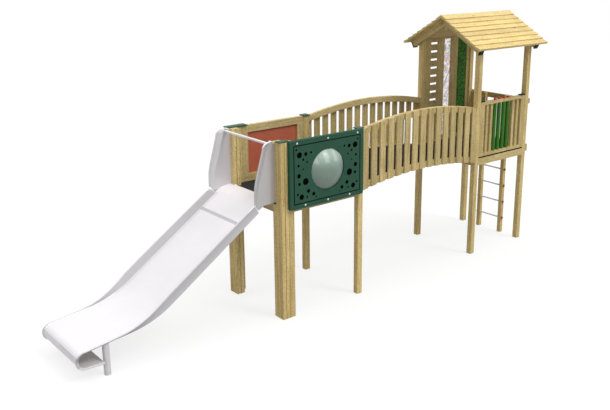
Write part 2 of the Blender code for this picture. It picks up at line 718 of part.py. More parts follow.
def make_bridge(materials):
    x0, x1 = a_x1 + fit, b_x0 - fit
    beam_low = deck_top - lower_beam_drop
    rail_top = low_post_height - handrail_below_post
    slat_pitch = (x1 - x0 - slat_width) / (slat_count - 1)
    for name, side in (("near", -1), ("far", 1)):
        slat_out = side * half
        slat_in = side * (half - slat_thickness)
        timber_in = side * (half - slat_thickness - bridge_timber)
        bm = bmesh.new()
        add_prism(bm, arch_outline(rail_top - handrail_depth, rail_top, bridge_rise, x0, x1, 24), "y",
                  slat_in - side * fit, timber_in)
        soften(place("handrail_" + name, mesh_from("handrail_" + name, bm), materials["timber"]), 0.004, 1)
        bm = bmesh.new()
        add_prism(bm, arch_outline(beam_low, beam_low + lower_beam_depth, deck_rise, x0, x1, 24), "y",
                  slat_in + side * sink, timber_in)
        side_panel = place("balustrade_" + name, mesh_from("balustrade_" + name, bm), materials["timber"])
        slats = bmesh.new()
        for i in range(slat_count):
            left = x0 + slat_pitch * i
            right = left + slat_width
            outline = [(left, beam_low - 0.002 + rise_at(left, deck_rise)),
                       (right, beam_low - 0.002 + rise_at(right, deck_rise)),
                       (right, rail_top - slat_cut_back + rise_at(right, bridge_rise)),
                       (left, rail_top - slat_cut_back + rise_at(left, bridge_rise))]
            add_prism(slats, outline, "y", slat_in, slat_out)
        combine(side_panel, "slats_" + name, slats, "UNION")

    deck_side = half - slat_thickness - bridge_timber - fit
    bm = bmesh.new()
    add_prism(bm, arch_outline(deck_top - deck_board, deck_top, deck_rise, x0, x1, 24), "y",
              -deck_side, deck_side)
    place("bridge_deck", mesh_from("bridge_deck", bm), materials["deck"])

    bearer_top = deck_top - deck_board - fit
    bm = bmesh.new()
    add_prism(bm, arch_outline(bearer_top - bearer_depth, bearer_top, deck_rise, x0, x1, 12), "y",
              -deck_side, -deck_side + bridge_timber)
    bearers = place("bridge_bearers", mesh_from("bridge_bearers", bm), materials["timber"])
    cross = bmesh.new()
    for i in range(bearer_count):
        x = a_x1 + bridge_span * (i + 0.5) / bearer_count
        lower_edge = min(rise_at(x - bridge_timber, deck_rise), rise_at(x + bridge_timber, deck_rise))
        top = bearer_top + lower_edge - 0.001
        add_box(cross, (x - bridge_timber / 2, -deck_side + bridge_timber - sink, top - bearer_depth + 0.004),
                (x + bridge_timber / 2, deck_side - bridge_timber + sink, top))
    combine(bearers, "cross_bearers", cross, "UNION")
    ledger = bmesh.new()
    add_prism(ledger, arch_outline(bearer_top - bearer_depth, bearer_top, deck_rise, x0, x1, 12), "y",
              deck_side - bridge_timber, deck_side)
    combine(bearers, "far_ledger", ledger, "UNION")


# Roofed tower


def make_roof_tower_deck(materials):
    stile_x = b_x1 - stile_side - 2 * fit
    stile_y0, stile_y1 = ladder_inside / 2 - fit, ladder_inside / 2 + stile_side + fit
    xs = [b_x0, b_x0 + deck_beam_width, b_x0 + post_side + fit, (b_x0 + b_x1 - joist_width) / 2,
          (b_x0 + b_x1 + joist_width) / 2, b_x1 - post_side - fit - deck_beam_width, b_x1 - post_side - fit]

    def timber(i, away):
        side_beam = away == 5 and 2 <= i <= 5
        front_beam = i == 0 and away <= 3
        return side_beam or front_beam or i in (3, 5) or away == 1

    make_deck_frame("roof_deck_frame", xs, timber, materials["timber"])
    xs = [b_x0, b_x0 + post_side + fit, b_x1 - post_side - fit, stile_x, b_x1]
    ys = [-half, -inner + fit, -stile_y1, -stile_y0, stile_y0, stile_y1, inner - fit, half]

    def board(i, j):
        if i == 0:
            return 1 <= j <= 5
        if i == 1:
            return True
        if i == 2:
            return 1 <= j <= 5
        return j in (1, 3, 5)

    bm = bmesh.new()
    add_cells(bm, xs, ys, board, "z", deck_top - deck_board, deck_top)
    place("roof_deck_board", mesh_from("roof_deck_board", bm), materials["deck"])


def roof_point(distance, drop, side):
    """Point (y, z) on a roof slope: distance down from the ridge, drop square to the surface."""
    y = distance * math.cos(roof_angle) - drop * math.sin(roof_angle)
    z = ridge_height - distance * math.sin(roof_angle) - drop * math.cos(roof_angle)
    return (side * y, z)


def make_roof(materials):
    x0, x1 = b_x0 - roof_end, b_x1 + roof_end
    slope_length = eave_half / math.cos(roof_angle)
    course = slope_length / course_count
    for name, side in (("roof_slope_near", -1), ("roof_slope_far", 1)):
        outline = [(side * fit, ridge_height)]
        for i in range(1, course_count + 1):
            outline.append(roof_point(course * i, 0.0, side))
            if i < course_count:
                outline.append(roof_point(course * i, course_step, side))
        outline.append(roof_point(slope_length, roof_thickness, side))
        outline.append((side * fit, ridge_height - roof_thickness / math.cos(roof_angle) - fit * roof_tan))
        bm = bmesh.new()
        add_prism(bm, outline, "x", x0, x1)
        place(name, mesh_from(name, bm), materials["roof_timber"])

    top_drop = roof_thickness + fit
    apex_top = ridge_height - top_drop / math.cos(roof_angle)
    apex_low = ridge_height - (top_drop + rafter_depth) / math.cos(roof_angle)
    end_distance = rafter_half / math.cos(roof_angle)
    for name, start, end in (("gable_frame_front", b_x0 - fit - rafter_width, b_x0 - fit),
                             ("gable_frame_back", b_x1 + fit, b_x1 + fit + rafter_width)):
        outline = [(0.0, apex_top), roof_point(end_distance, top_drop, 1),
                   roof_point(end_distance, top_drop + rafter_depth, 1), (0.0, apex_low),
                   roof_point(end_distance, top_drop + rafter_depth, -1),
                   roof_point(end_distance, top_drop, -1)]
        bm = bmesh.new()
        add_prism(bm, outline, "x", start, end)
        frame = place(name, mesh_from(name, bm), materials["timber"])
        gusset = bmesh.new()
        reach = (apex_low + sink - gusset_height) / roof_tan
        middle = (start + end) / 2
        add_prism(gusset, [(0.0, apex_low + sink), (reach, gusset_height), (-reach, gusset_height)], "x",
                  middle - gusset_thickness / 2, middle + gusset_thickness / 2)
        combine(frame, name + "_gusset", gusset, "UNION")


def make_play_wall(materials):
    x0, x1 = b_x0 + post_side + fit, b_x1 - post_side - fit
    y1 = half - wall_setback
    y0 = y1 - wall_thickness
    swirl0 = x0 + swirl_left
    swirl1 = swirl0 + swirl_width
    green1 = x1 - green_right
    green0 = green1 - green_width
    z0, z1 = deck_top + fit, wall_top
    window0, window1 = deck_top + wall_bottom_rail, wall_top - window_top_margin
    bm = bmesh.new()
    add_cells(bm, [x0, swirl0, swirl1, green0, green1, x1], [z0, window0, window1, z1],
              lambda i, j: not (i in (1, 3) and j == 1), "y", y0, y1)
    wall = place("play_wall", mesh_from("play_wall", bm), materials["timber"])
    slots = bmesh.new()
    for i in range(slot_count):
        z = slot_top - slot_pitch * i
        add_box(slots, (x0 + slot_left, y0 - 0.01, z - slot_height / 2),
                (x0 + slot_left + slot_length, y1 + 0.01, z + slot_height / 2))
    combine(wall, "wall_slots", slots, "DIFFERENCE")
    middle = (y0 + y1) / 2
    for name, left, right, thick, material in (
            ("swirl_panel", swirl0, swirl1, swirl_thickness, "swirl"),
            ("green_panel", green0, green1, green_thickness, "turf_green")):
        bm = bmesh.new()
        add_box(bm, (left + fit, middle - thick / 2, window0 + fit),
                (right - fit, middle + thick / 2, window1 - fit))
        place(name, mesh_from(name, bm), materials[material])


def make_roller_barrier(materials):
    x0, x1 = b_x0 + post_side + fit, b_x1 - post_side - fit
    z0 = deck_top + fit
    z3 = deck_top + barrier_height
    z1, z2 = z0 + barrier_rail, z3 - barrier_rail
    y_front = -half
    y_mid = -half + barrier_depth / 2
    edges = [x0]
    for width in (barrier_stile, barrier_gap, barrier_slat, barrier_gap, barrier_slat):
        edges.append(edges[-1] + width)
    bm = bmesh.new()
    add_box(bm, (x0, y_front, z0), (x1, y_front + barrier_depth, z1))
    barrier = place("roller_barrier", mesh_from("roller_barrier", bm), materials["timber"])
    uprights = bmesh.new()
    for k in (0, 2, 4):
        inset = 0.010 if k else 0.0
        for left, right in ((edges[k], edges[k + 1]), (x0 + x1 - edges[k + 1], x0 + x1 - edges[k])):
            add_box(uprights, (left, y_front + inset, z1 - sink),
                    (right, y_front + inset + barrier_slat_thickness, z2 + sink))
    combine(barrier, "barrier_uprights", uprights, "UNION")
    top_rail = bmesh.new()
    add_box(top_rail, (x0, y_front, z2), (x1, y_front + barrier_depth, z3))
    combine(barrier, "barrier_top_rail", top_rail, "UNION")

    first = edges[-1] + roller_gap_front + roller_radius
    last = x0 + x1 - edges[-1] - roller_gap_back - roller_radius
    roller_pitch = (last - first) / (roller_count - 1)
    holes = bmesh.new()
    for i in range(roller_count):
        x = first + roller_pitch * i
        top = z3 + 0.01
        bottom = z1 - spindle_depth
        add_cylinder(holes, (x, y_mid, (top + bottom) / 2), "z", spindle_radius + fit, top - bottom, 12)
    combine(barrier, "spindle_holes", holes, "DIFFERENCE")

    roller_low = z1 + fit + collar_height + fit
    roller_high = z2 - 0.004
    length = roller_high - roller_low
    bore = spindle_radius + bore_clearance
    bm = bmesh.new()
    add_turned(bm, [(bore, 0.0), (roller_radius - roller_edge, 0.0), (roller_radius - 0.002, 0.002),
                    (roller_radius, roller_edge), (roller_radius, length - roller_edge),
                    (roller_radius - 0.002, length - 0.002), (roller_radius - roller_edge, length),
                    (bore, length)], 24)
    roller_mesh = mesh_from("roller", bm, math.radians(50))
    foot = z1 - spindle_depth + fit
    collar_low = z1 + fit - foot
    knob_low = z3 + fit - foot
    bm = bmesh.new()
    collar_high = collar_low + collar_height
    add_turned(bm, [(0.0, 0.0), (spindle_radius, 0.0), (spindle_radius, collar_low),
                    (collar_radius, collar_low), (collar_radius, collar_high), (spindle_radius, collar_high),
                    (spindle_radius, knob_low), (knob_radius, knob_low),
                    (knob_radius, knob_low + knob_height * 0.45),
                    (knob_radius * 0.85, knob_low + knob_height * 0.78),
                    (knob_radius * 0.5, knob_low + knob_height * 0.95),
                    (0.0, knob_low + knob_height)], 12)
    spindle_mesh = mesh_from("spindle", bm, math.radians(40))
    for i in range(roller_count):
        x = first + roller_pitch * i
        place(f"roller_{i + 1}", roller_mesh, materials["roller_green"], (x, y_mid, roller_low))
        place(f"roller_spindle_{i + 1}", spindle_mesh, materials["knob_red"], (x, y_mid, foot))


def make_ladder_end(materials):
    x0 = b_x1 + fit
    stile_out = ladder_inside / 2 + stile_side
    bm = bmesh.new()
    add_box(bm, (x0, -half, end_rail_top - end_rail_depth), (x0 + end_rail_width, half, end_rail_top))
    rail = place("end_barrier", mesh_from("end_barrier", bm), materials["timber"])
    slats = bmesh.new()
    free = inner - stile_out
    width = (free - 3 * end_slat_gap) / 2
    for side in (-1, 1):
        for i in range(2):
            y0 = stile_out + end_slat_gap + i * (width + end_slat_gap)
            y1 = y0 + width
            low, high = sorted((side * y0, side * y1))
            add_box(slats, (x0 - slat_thickness, low, deck_top + fit),
                    (x0 + sink, high, end_rail_top - 0.015))
    combine(rail, "end_slats", slats, "UNION")
    sill = bmesh.new()
    add_box(sill, (x0, -half, end_sill_top - end_sill_depth), (x0 + end_rail_width, half, end_sill_top))
    combine(rail, "end_sill", sill, "UNION")

    stile_x = b_x1 - stile_side / 2 - fit
    stile_mid = ladder_inside / 2 + stile_side / 2
    rung_x = 0.0
    bm = bmesh.new()
    side = stile_side / 2
    add_box(bm, (-side, -side, 0.0), (side, side, end_rail_top))
    stile_mesh = mesh_from("ladder_stile", bm)
    for name, y in (("ladder_stile_near", -stile_mid), ("ladder_stile_far", stile_mid)):
        stile = place(name, stile_mesh, materials["timber"], (stile_x, y, 0.0))
        holes = bmesh.new()
        for i in range(rung_count):
            add_cylinder(holes, (rung_x, 0.0, first_rung + rung_pitch * i), "y",
                         rung_radius + fit, 2 * stile_side, 16)
        combine(stile, name + "_holes", holes, "DIFFERENCE")

    reach = stile_out + fit
    bm = bmesh.new()
    add_turned(bm, [(0.0, -reach - rung_cap_length), (rung_cap_radius * 0.8, -reach - rung_cap_length),
                    (rung_cap_radius, -reach - rung_cap_length * 0.6), (rung_cap_radius, -reach),
                    (rung_radius, -reach), (rung_radius, reach), (rung_cap_radius, reach),
                    (rung_cap_radius, reach + rung_cap_length * 0.6),
                    (rung_cap_radius * 0.8, reach + rung_cap_length), (0.0, reach + rung_cap_length)], 16)
    bmesh.ops.rotate(bm, verts=bm.verts[:], cent=(0, 0, 0), matrix=Matrix.Rotation(math.pi / 2, 3, "X"))
    rung_mesh = mesh_from("rung", bm, math.radians(40))
    for i in range(rung_count):
        place(f"ladder_rung_{i + 1}", rung_mesh, materials["steel"],
              (stile_x + rung_x, 0.0, first_rung + rung_pitch * i))


def build():
    remove_everything()
    materials = make_materials()
    make_posts(materials)
    make_cheeks(materials)
    make_caps(materials)
    make_slide_tower_deck(materials)
    make_slide(materials)
    make_bubble_panel(materials)
    make_red_side(materials)
    make_bridge(materials)
    make_roof_tower_deck(materials)
    make_roof(materials)
    make_play_wall(materials)
    make_roller_barrier(materials)
    make_ladder_end(materials)


build()
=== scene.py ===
import math

import bpy
import numpy as np
from mathutils import Matrix


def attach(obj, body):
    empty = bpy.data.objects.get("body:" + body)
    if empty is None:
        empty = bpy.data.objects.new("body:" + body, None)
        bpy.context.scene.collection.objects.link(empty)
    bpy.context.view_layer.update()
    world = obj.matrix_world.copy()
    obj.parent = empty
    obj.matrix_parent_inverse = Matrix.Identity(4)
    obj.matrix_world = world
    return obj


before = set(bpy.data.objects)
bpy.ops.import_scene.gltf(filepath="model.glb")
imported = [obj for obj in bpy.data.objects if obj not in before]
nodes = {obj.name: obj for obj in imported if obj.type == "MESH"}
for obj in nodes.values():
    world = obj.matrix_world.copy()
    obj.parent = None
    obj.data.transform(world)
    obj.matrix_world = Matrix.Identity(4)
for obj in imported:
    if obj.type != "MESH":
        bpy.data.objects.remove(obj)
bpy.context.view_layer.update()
print("frame loaded:", len(nodes), "nodes")


def tone(red, green, blue):  # a colour as seen on screen, made linear for the shaders
    steps = (value / 255 for value in (red, green, blue))
    return tuple(((s + 0.055) / 1.055) ** 2.4 if s > 0.04 else s / 12.92 for s in steps) + (1.0,)


# Shader arithmetic

class Wire:  # a socket on which + - * / ** > < and abs() add Math nodes
    def __init__(self, finish, socket):
        self.finish = finish
        self.socket = socket

    def apply(self, operation, *values):
        return self.finish.node("ShaderNodeMath", {"operation": operation}, values)

    def __add__(self, other):
        return self.apply("ADD", self, other)

    def __radd__(self, other):
        return self.apply("ADD", other, self)

    def __sub__(self, other):
        return self.apply("SUBTRACT", self, other)

    def __rsub__(self, other):
        return self.apply("SUBTRACT", other, self)

    def __mul__(self, other):
        return self.apply("MULTIPLY", self, other)

    def __rmul__(self, other):
        return self.apply("MULTIPLY", other, self)

    def __truediv__(self, other):
        return self.apply("DIVIDE", self, other)

    def __pow__(self, power):
        return self.apply("POWER", self, power)

    def __gt__(self, other):
        return self.apply("GREATER_THAN", self, other)

    def __lt__(self, other):
        return self.apply("LESS_THAN", self, other)

    def __abs__(self):
        return self.apply("ABSOLUTE", self)

    def sine(self):
        return self.apply("SINE", self)

    def floor(self):
        return self.apply("FLOOR", self)

    def most(self, other):
        return self.apply("MAXIMUM", self, other)


class Finish:  # one material and its nodes
    def __init__(self, name):
        self.material = bpy.data.materials.new(name)
        self.material.use_nodes = True
        self.tree = self.material.node_tree
        self.tree.nodes.clear()
        coordinates = self.tree.nodes.new("ShaderNodeTexCoord")
        self.point = Wire(self, coordinates.outputs["Object"])
        self.facing = Wire(self, coordinates.outputs["Normal"])

    def node(self, kind, settings=None, values=(), output=0):
        made = self.tree.nodes.new(kind)
        for name, value in (settings or {}).items():
            if name == "stops":
                self.setStops(made.color_ramp, value)
            else:
                setattr(made, name, value)
        pairs = values.items() if isinstance(values, dict) else enumerate(values)
        for key, value in pairs:
            if isinstance(value, Wire):
                self.tree.links.new(value.socket, made.inputs[key])
            else:
                made.inputs[key].default_value = value
        return Wire(self, made.outputs[output])

    def setStops(self, ramp, stops):
        while len(ramp.elements) < len(stops):
            ramp.elements.new(0.5)
        for element, (position, colour) in zip(ramp.elements, stops):
            element.position = position
            element.color = colour

    def split(self, vector):  # the three numbers of a vector
        parts = self.node("ShaderNodeSeparateXYZ", values=(vector,))
        outputs = parts.socket.node.outputs
        return [Wire(self, outputs[i]) for i in range(3)]

    def join(self, x, y, z):
        return self.node("ShaderNodeCombineXYZ", values=(x, y, z))

    def noise(self, vector, scale=1.0, detail=2.0, roughness=0.5, distortion=0.0):
        return self.node("ShaderNodeTexNoise", {"noise_dimensions": "3D"},
                         {"Vector": vector, "Scale": scale, "Detail": detail,
                          "Roughness": roughness, "Distortion": distortion}, "Fac")

    def spots(self, vector, scale=1.0, output="Distance"):
        return self.node("ShaderNodeTexVoronoi", {"feature": "F1"},
                         {"Vector": vector, "Scale": scale}, output)

    def chance(self, number):  # one random value for each whole number
        return self.node("ShaderNodeTexWhiteNoise", {"noise_dimensions": "1D"}, {"W": number}, "Value")

    def step(self, value, low, high):  # 0 below low, 1 above high, smooth between
        return self.node("ShaderNodeMapRange", {"interpolation_type": "SMOOTHSTEP"},
                         {"Value": value, "From Min": low, "From Max": high}, "Result")

    def ramp(self, value, stops):
        return self.node("ShaderNodeValToRGB", {"stops": stops}, {"Fac": value}, "Color")

    def mix(self, factor, first, second, blend="MIX"):
        return self.node("ShaderNodeMix", {"data_type": "RGBA", "blend_type": blend},
                         {0: factor, 6: first, 7: second}, 2)

    def shaded(self, colour, amount):  # colour times a grey that varies
        return self.mix(1.0, colour, self.join(amount, amount, amount), "MULTIPLY")

    def close(self, colour, roughness, height, bumpSize, bumpStrength, **fixed):
        bump = self.node("ShaderNodeBump", None, {"Height": height, "Distance": bumpSize,
                                                  "Strength": bumpStrength}, "Normal")
        values = {"Base Color": colour, "Roughness": roughness, "Normal": bump}
        values.update({key.replace("_", " "): value for key, value in fixed.items()})
        surface = self.node("ShaderNodeBsdfPrincipled", None, values)
        end = self.tree.nodes.new("ShaderNodeOutputMaterial")
        self.tree.links.new(surface.socket, end.inputs["Surface"])
        return self.material


def graded(rows):  # ramp stops from rows of (place, red, green, blue)
    return [(place, tone(*colour)) for place, *colour in rows]


def wear(name, material):
    mesh = nodes[name].data
    if not mesh.materials:
        mesh.materials.append(material)
    for slot in nodes[name].material_slots:
        slot.material = material


# Timber

# tones, how close the rings lie, and how fine each pattern is across the grain and along it
timber = {"pale": (235, 213, 151), "middle": (219, 194, 130), "deep": (190, 162, 100),
          "ring": (160, 130, 76), "knot": (124, 88, 46), "rings": 46.0,
          "field": (8.0, 0.30), "knots": (6.5, 2.6), "fibre": (150.0, 5.0), "streak": (34.0, 1.3),
          "blotch": (3.0, 1.6), "fleck": (62.0, 36.0)}
slope = math.radians(29.87)  # of the rafters and the roof


def upright(x, y, z):  # grain up the piece: the way along it, then the two ways across
    return z, x, y


def lengthwise(x, y, z):
    return x, y, z


def crosswise(x, y, z):
    return y, x, z


def raftered(x, y, z):  # down both slopes of the gable
    out = abs(y)
    return out * math.cos(slope) - z * math.sin(slope), x, out * math.sin(slope) + z * math.cos(slope)


def either(mask, first, second):  # first where the mask is 1, second elsewhere
    def ways(x, y, z):
        where = mask(x, y, z)
        return [a * where + b * (1 - where) for a, b in zip(first(x, y, z), second(x, y, z))]
    return ways


def makeTimber(name, grain, look=timber, piece=None, seam=None):
    f = Finish(name)
    x, y, z = f.split(f.point)
    run, across, through = grain(x, y, z)
    shift = 0.0
    lift = 1.0
    if piece:  # each board has its own tone and its own place in the pattern
        luck = f.chance(piece(x, y, z))
        shift = luck * 9.0
        lift = 0.90 + luck * 0.18

    def grained(pattern, moved=shift):
        fine, along = look[pattern]
        return f.join(across * fine + moved, through * fine, run * along)

    field = f.noise(grained("field"), 1.0, 1.5, 0.45, 0.35)
    knotPlace = grained("knots")
    away = f.spots(knotPlace)
    bend = 1 - f.step(away, 0.05, 0.42)
    rings = ((field * look["rings"] * 2.0 + bend * 5.0).sine() * 0.5 + 0.5) ** 2.2
    fibre = f.noise(grained("fibre"), 1.0, 2.0, 0.6)
    streak = f.noise(grained("streak"), 1.0, 3.0, 0.55)
    blotch = f.noise(grained("blotch", 0.0), 1.0, 3.0, 0.6)
    fleck = f.noise(grained("fleck"), 1.0, 3.0, 0.7)
    blend = streak * 0.36 + fibre * 0.40 + blotch * 0.24
    colour = f.ramp(blend, [(0.36, tone(*look["deep"])), (0.50, tone(*look["middle"])),
                            (0.62, tone(*look["pale"]))])
    colour = f.mix(rings * 0.24, colour, tone(*look["ring"]))
    knot = (1 - f.step(away, 0.035, 0.085)) * (f.spots(knotPlace, 1.0, "Color") > 0.55)
    colour = f.mix(knot * 0.8, colour, tone(*look["knot"]))
    nx, ny, nz = f.split(f.facing)
    endOn = {upright: nz, lengthwise: nx}.get(grain)
    if endOn is not None:  # sawn ends are darker
        colour = f.shaded(colour, 1.0 - (abs(endOn) > 0.8) * 0.16)
    colour = f.shaded(colour, (0.90 + blotch * 0.2) * (0.40 + fleck * 1.20) * lift)
    height = fibre * 0.5 + streak * 0.35 - rings * 0.3
    if seam:
        between = abs(x - seam["planks"]) < seam["wide"] / 2
        joint = between.most(x > seam["post"]) * (abs(ny) > 0.5)
        check = (abs(abs(y) - seam["check"]) < seam["wide"] / 2) * (nx < -0.5)  # a crack down the front
        colour = f.mix(joint * 0.85, colour, tone(*seam["tone"]))
        colour = f.mix(check * 0.40, colour, tone(*seam["tone"]))
        height = height - joint * 2.0 - check * 0.8
    return f.close(colour, 0.62 + fibre * 0.22, height, 0.0022, 0.55)


# each cheek is two planks face to face, in front of the post
cheekSeam = {"planks": -1.096, "post": -1.0425, "check": 0.548, "wide": 0.007, "tone": (96, 72, 38)}
boards = dict(timber, pale=(231, 210, 149), middle=(223, 199, 134), deep=(205, 179, 114),
              ring=(186, 156, 94), rings=30.0)
railWood = dict(timber, pale=(216, 198, 144), middle=(203, 182, 126), deep=(180, 155, 101),
                ring=(152, 124, 74))
slatWood = dict(timber, pale=(214, 194, 138), middle=(198, 177, 120), deep=(172, 148, 94),
                ring=(148, 121, 72))
wallWood = dict(slatWood, streak=(26.0, 1.3))

# where the grain turns within a piece, where its boards start and how wide they are
turns = {"deckBeams": 0.51, "slatBack": 0.5774, "slatStart": 0.1563, "slatPitch": 0.15096,
         "redRails": (1.5963, 2.154), "redMiddle": -0.4415, "redOpening": 0.405,
         "rollerRails": (1.546, 2.264), "endRails": (1.531, 2.166), "wallBoard": 0.13,
         "ridge": 3.535, "courseRise": 0.0536}


def within(value, span):
    return (value > span[0]) * (value < span[1])


# where a last function is given, it numbers the posts, planks or boards, for a tone of their own
finishes = {
    "timberUpright": makeTimber("timberUpright", upright, timber,
                                lambda x, y, z: (x * 3.1 + 40.0).floor() + (y * 5.3 + 20.0).floor() * 7.0),
    "timberCheek": makeTimber("timberCheek", upright, timber,
                              lambda x, y, z: (x > cheekSeam["planks"]) * 3.0 + (y > 0) * 5.0, cheekSeam),
    "timberLong": makeTimber("timberLong", lengthwise, railWood),
    "timberDeckFrame": makeTimber("timberDeckFrame", either(
        lambda x, y, z: abs(y) > turns["deckBeams"], lengthwise, crosswise), slatWood),
    "timberBalusters": makeTimber("timberBalusters", either(
        lambda x, y, z: abs(y) > turns["slatBack"], upright, lengthwise), slatWood,
        lambda x, y, z: ((x - turns["slatStart"]) / turns["slatPitch"]).floor()),
    "timberRedSide": makeTimber("timberRedSide", either(
        lambda x, y, z: within(z, turns["redRails"]) * (abs(x - turns["redMiddle"]) > turns["redOpening"]),
        upright, lengthwise), railWood),
    "timberRollerSide": makeTimber("timberRollerSide", either(
        lambda x, y, z: within(z, turns["rollerRails"]), upright, lengthwise), slatWood,
        lambda x, y, z: (x * 15.0).floor()),
    "timberEndSide": makeTimber("timberEndSide", either(
        lambda x, y, z: within(z, turns["endRails"]), upright, crosswise), slatWood,
        lambda x, y, z: (y * 12.0 + 30.0).floor()),
    "timberRafters": makeTimber("timberRafters", raftered, slatWood),
    "timberWall": makeTimber("timberWall", upright, wallWood,
                             lambda x, y, z: (x / turns["wallBoard"]).floor()),
    "roofBoards": makeTimber("roofBoards", lengthwise, boards,
                             lambda x, y, z: ((turns["ridge"] - z) / turns["courseRise"]).floor()
                             + (y > 0) * 11.0),
}
timberOn = {
    "timberUpright": ["%s_post_%s_%s" % (tower, side, end) for tower in ("slide", "roof")
                      for side in ("near", "far") for end in ("front", "back")]
                     + ["ladder_stile_near", "ladder_stile_far"],
    "timberCheek": ["cheek_near", "cheek_far"],
    "timberLong": ["handrail_near", "handrail_far", "bridge_bearers"],
    "timberDeckFrame": ["slide_deck_frame", "roof_deck_frame"],
    "timberBalusters": ["balustrade_near", "balustrade_far"],
    "timberRedSide": ["red_side_frame"],
    "timberRollerSide": ["roller_barrier"],
    "timberEndSide": ["end_barrier"],
    "timberRafters": ["gable_frame_front", "gable_frame_back"],
    "timberWall": ["play_wall"],
    "roofBoards": ["roof_slope_near", "roof_slope_far"],
}
for look, names in timberOn.items():
    for name in names:
        wear(name, finishes[look])
print("timber done")


# Sheet metal, bars and moulded parts

# the under and over tones are painted: a pale painted light for undersides, a painted shade for upward faces
# inside the nose
slideSteel = {"bright": (238, 235, 237), "dull": (230, 227, 230), "band": (188, 184, 188),
              "paintedUnderLight": (248, 243, 243), "paintedOverShade": (204, 199, 199), "metal": 0.12}
# places on the slide: the steep run's line, the edges of bed and rim, the levels where the run ends
# and the wings begin, the nose, and the grey band across the top
onSlide = {"runStart": (-1.649, 1.292), "runSlope": 0.68, "bedEdge": 0.4535, "wall": 0.456,
           "rimEdge": 0.4925, "runTop": 1.47, "wingLow": 1.50, "noseBack": -3.34, "noseTop": 0.345,
           "noseMiddle": (-3.657, 0.254), "band": (-1.648, -1.612), "bandEdge": 0.452, "bandAbove": 1.2}


def makeSlideSteel():
    f = Finish("slideSteel")
    x, y, z = f.split(f.point)
    brushed = f.noise(f.join(x * 5.0, y * 420.0, z * 5.0), 1.0, 2.0, 0.6)
    cloudy = f.noise(f.point, 3.2, 3.0, 0.55)
    scuffs = f.step(f.noise(f.join(x * 7.0, y * 60.0, z * 7.0), 1.0, 3.0, 0.7), 0.60, 0.78)
    colour = f.mix(cloudy, tone(*slideSteel["dull"]), tone(*slideSteel["bright"]))
    colour = f.shaded(colour, 0.965 + brushed * 0.05 - scuffs * 0.05)
    band = within(x, onSlide["band"]) * (abs(y) < onSlide["bandEdge"]) * (z > onSlide["bandAbove"])
    colour = f.mix(band * 0.9, colour, tone(*slideSteel["band"]))
    nx, ny, nz = f.split(f.facing)
    onRun = z < onSlide["runTop"]
    rolled = (x < onSlide["noseBack"]) * (1 - f.step(z, 0.24, 0.30))
    side = (1 - f.step(abs(nz), 0.25, 0.6)) * (1 - rolled * 0.9)
    runX, runZ = onSlide["runStart"]
    aboveBed = z - (runZ + (x - runX) * onSlide["runSlope"])
    lower = 1 - f.step(aboveBed, -0.03, 0.11)
    # painted shade: the rim tops along the run and the bed's edges toward the nose are darkened
    rim = (abs(y) > onSlide["rimEdge"]) * (nz > 0.5) * onRun
    lowEdge = (abs(y) > onSlide["bedEdge"]) * f.step(x * -1.0, 2.7, 3.3)
    edge = lowEdge.most(rim) * (z > 0.2)
    # painted shade: the inner walls of the side rails are darkened
    innerWallShade = (ny * y < 0.0) * (abs(y) > onSlide["wall"]) * (z > 0.40) * (z < onSlide["wingLow"])
    # painted shade: the bed grows darker towards the far rail's foot
    footShade = f.step(y, 0.39, 0.452) * (y < onSlide["wall"]) * (nz > 0.6) * f.step(z, 0.42, 0.55) * onRun
    farWing = (y > 0) * (z > onSlide["wingLow"])
    # painted shade: upright faces are darkened, the near side's more, the far wing's less, and the near outer
    # face less towards its foot
    paintedShade = side * (0.24 + (y < 0) * 0.11 - farWing * 0.09 - lower * (y < 0) * onRun * 0.10)
    # painted light: upward faces of the upper run are lightened
    lift = f.step(z, 1.20, 1.45) * (nz > 0.4) * 0.10
    colour = f.shaded(colour, 1.0 + lift - paintedShade - edge * 0.26 - innerWallShade * 0.13 - footShade * 0.17)
    noseX, noseZ = onSlide["noseMiddle"]
    inward = (nx * (x - noseX) + nz * (z - noseZ)) < 0.0  # the inside of the rolled nose is rougher
    insideAndUnder = inward * (x < onSlide["noseBack"]) * (z < onSlide["noseTop"]) * (abs(ny) < 0.7)
    insideAndUnder = insideAndUnder.most((nz < -0.4) * (z > 0.2))
    # painted light and shade: the nose's inside and every underside take set tones, downward faces a pale
    # painted light, upward faces a darker painted shade
    paintedLightAndShade = f.mix(f.step(nz, -0.3, 0.3), tone(*slideSteel["paintedUnderLight"]), tone(*slideSteel["paintedOverShade"]))
    colour = f.mix(insideAndUnder * 0.85, colour, paintedLightAndShade)
    rough = 0.36 + brushed * 0.10 + scuffs * 0.14 + insideAndUnder * 0.2
    return f.close(colour, rough, brushed + scuffs * 0.6, 0.0004, 0.35, Metallic=slideSteel["metal"])


rungCap = {"deep": (150, 24, 14), "light": (206, 44, 28)}


def makeBrushed(name, look, frequency=(30.0, 30.0, 400.0)):
    f = Finish(name)
    x, y, z = f.split(f.point)
    lines = f.noise(f.join(x * frequency[0], y * frequency[1], z * frequency[2]), 1.0, 2.0, 0.6)
    marks = f.noise(f.point, 14.0, 3.0, 0.6)
    colour = f.mix(marks, tone(*look["dull"]), tone(*look["bright"]))
    colour = f.shaded(colour, 0.92 + lines * 0.12)
    cap = abs(y) > look.get("capBeyond", 99.0)
    colour = f.mix(cap, colour, f.mix(marks, tone(*rungCap["deep"]), tone(*rungCap["light"])))
    return f.close(colour, 0.28 + lines * 0.14, lines, 0.0003, 0.3,
                   Metallic=look["metal"] * (1 - cap))


